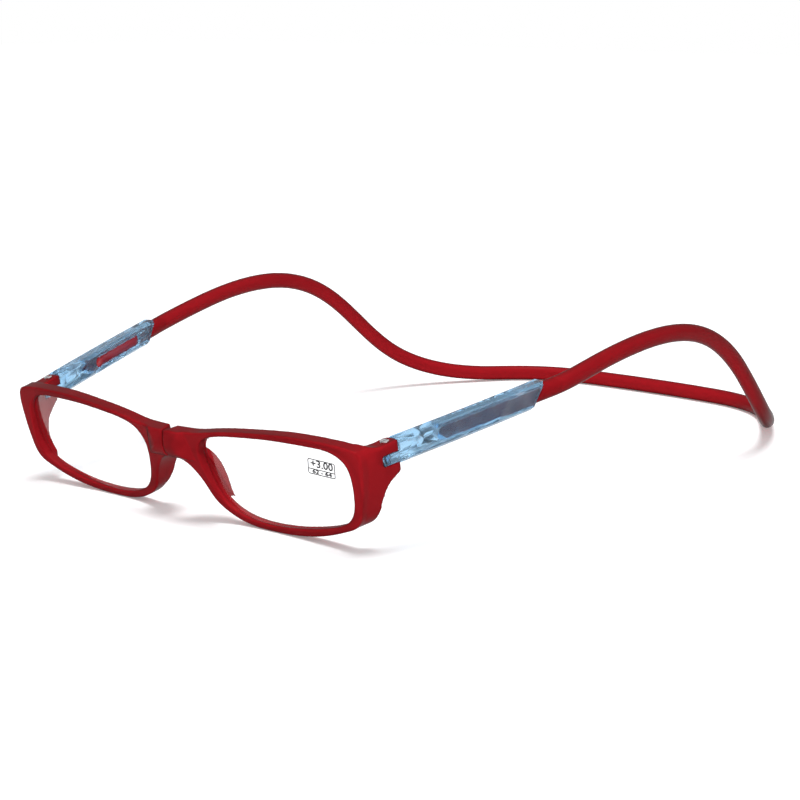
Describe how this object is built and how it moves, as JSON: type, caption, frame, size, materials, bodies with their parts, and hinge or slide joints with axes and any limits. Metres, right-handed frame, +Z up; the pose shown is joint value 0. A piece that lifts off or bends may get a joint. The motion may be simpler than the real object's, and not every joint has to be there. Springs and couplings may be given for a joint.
{
  "type": "front connecting reading glasses",
  "caption": "Reading glasses whose two half fronts join by magnets at the nose, with sliding temple sleeves on one neckband behind the head.",
  "frame": {"origin": "middle of the footprint, on the table that the two rims and the nape of the band stand on", "axes": "+X towards the wearer's left (the viewer's right), +Y from the front to the back of the head, +Z up"},
  "size_m": [0.1634, 0.241, 0.047],
  "materials": {
    "band_red": "translucent, fine frosted",
    "rim_red": "translucent, fine frosted",
    "tongue_red": "translucent, satin",
    "sleeve_blue": "translucent, satin",
    "lens_clear": "polished clear",
    "magnet_steel": "plated",
    "screw_steel": "plated"
  },
  "bodies": {
    "neckband": {"neckband": "band_red", "ratchet_tongue_left": "tongue_red", "ratchet_tongue_right": "tongue_red"},
    "sleeve_left": {"temple_sleeve_left": "sleeve_blue"},
    "front_left": {"rim_left": "rim_red", "lens_left": "lens_clear", "bridge_magnet_left": "magnet_steel", "hinge_screw_left": "screw_steel"},
    "sleeve_right": {"temple_sleeve_right": "sleeve_blue"},
    "front_right": {"rim_right": "rim_red", "lens_right": "lens_clear", "bridge_magnet_right": "magnet_steel", "hinge_screw_right": "screw_steel"}
  },
  "joints": [
    {"name": "left_telescope", "type": "slide", "parent": "neckband", "child": "sleeve_left", "axis": [-0.2079, -0.9598, -0.1883], "range_m": [0, 0.0196]},
    {"name": "left_hinge", "type": "hinge", "parent": "sleeve_left", "child": "front_left", "pos_m": [0.0643, -0.10422, 0.02548], "axis": [0, 0.1925, -0.9813], "range_deg": [-12, 85]},
    {"name": "right_telescope", "type": "slide", "parent": "neckband", "child": "sleeve_right", "axis": [0.2079, -0.9598, -0.1883], "range_m": [0, 0.0196]},
    {"name": "right_hinge", "type": "hinge", "parent": "sleeve_right", "child": "front_right", "pos_m": [-0.0643, -0.10422, 0.02548], "axis": [0, -0.1925, 0.9813], "range_deg": [-12, 85]}
  ]
}
